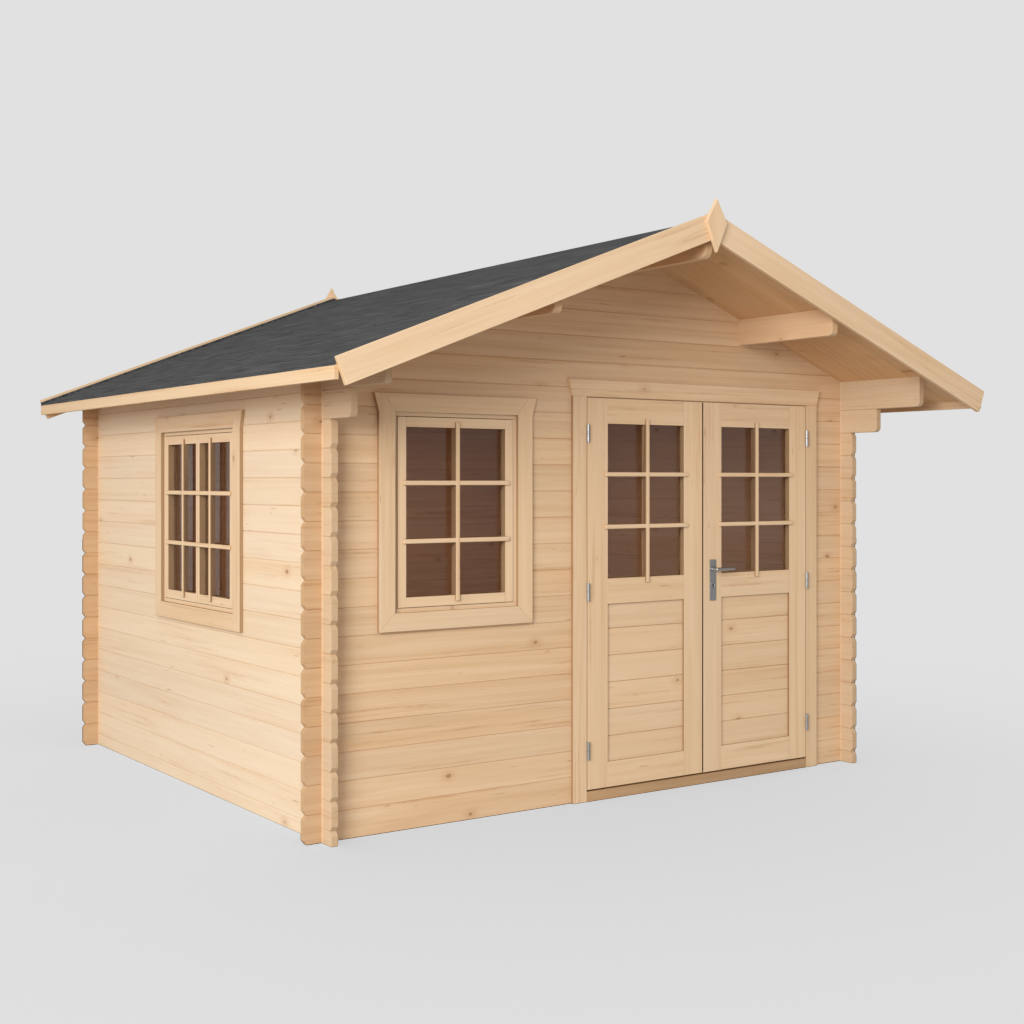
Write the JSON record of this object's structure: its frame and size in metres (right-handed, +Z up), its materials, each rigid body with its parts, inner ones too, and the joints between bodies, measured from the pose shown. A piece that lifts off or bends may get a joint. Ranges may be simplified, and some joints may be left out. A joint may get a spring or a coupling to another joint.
{
  "type": "log cabin",
  "caption": "Single-room timber log cabin with a gabled felt roof, a deep front overhang, glazed double doors and two windows.",
  "frame": {"origin": "on the ground, under the middle of the roof's plan", "axes": "+Z up; the doors face -Y; +X to the right of someone who faces the doors; the ridge runs along Y"},
  "size_m": [3.558, 3.455, 2.618],
  "materials": {
    "log_timber": "planed, untreated",
    "beam_timber": "planed, untreated",
    "board_timber": "planed, untreated",
    "trim_timber": "planed, untreated",
    "joinery_timber": "planed, untreated",
    "floor_timber": "planed, untreated",
    "roof_felt": "mineral felt, matt",
    "clear_glass": "clear",
    "satin_steel": "satin"
  },
  "bodies": {
    "root": {"bargeboards_left": "trim_timber", "bargeboards_right": "trim_timber", "door_casing_head": "trim_timber", "door_casing_sides": "trim_timber", "door_head": "joinery_timber", "door_jambs": "joinery_timber", "door_threshold": "joinery_timber", "eave_fascias": "trim_timber", "finials": "trim_timber", "floor_bearers": "floor_timber", "floor_boards": "floor_timber", "front_gable": "log_timber", "front_wall_left": "log_timber", "front_wall_right": "log_timber", "hinge_pins": "satin_steel", "left_wall": "log_timber", "plate_logs": "log_timber", "rear_wall": "log_timber", "ridge_purlin": "beam_timber", "right_wall": "log_timber", "roof_boards_left": "board_timber", "roof_boards_right": "board_timber", "roof_felt_left": "roof_felt", "roof_felt_right": "roof_felt", "sash_rails": "joinery_timber", "sash_stiles": "joinery_timber", "side_purlins": "beam_timber", "window_casing_heads": "trim_timber", "window_casing_sides": "trim_timber", "window_glass": "clear_glass", "window_heads_and_sills": "joinery_timber", "window_jambs": "joinery_timber"},
    "left_door": {"left_hinge_sockets": "satin_steel", "left_leaf_glass": "clear_glass", "left_leaf_panel": "joinery_timber", "left_leaf_rails": "joinery_timber", "left_leaf_stiles": "joinery_timber"},
    "right_door": {"lock_plates": "satin_steel", "right_hinge_sockets": "satin_steel", "right_leaf_glass": "clear_glass", "right_leaf_panel": "joinery_timber", "right_leaf_rails": "joinery_timber", "right_leaf_stiles": "joinery_timber"},
    "lever": {"lever_handles": "satin_steel"}
  },
  "joints": [
    {"name": "left_door_hinge", "type": "hinge", "parent": "root", "child": "left_door", "pos_m": [-0.1845, -1.0855, 0.9395], "axis": [0, 0, -1], "range_deg": [0, 110]},
    {"name": "right_door_hinge", "type": "hinge", "parent": "root", "child": "right_door", "pos_m": [1.2005, -1.0855, 0.9395], "axis": [0, 0, 1], "range_deg": [0, 110]},
    {"name": "lever_turn", "type": "hinge", "parent": "right_door", "child": "lever", "pos_m": [0.5695, -1.0775, 1.016], "axis": [0, 1, 0], "range_deg": [0, 40], "stiffness_Nm_per_rad": 2, "springref_deg": -17.19}
  ]
}
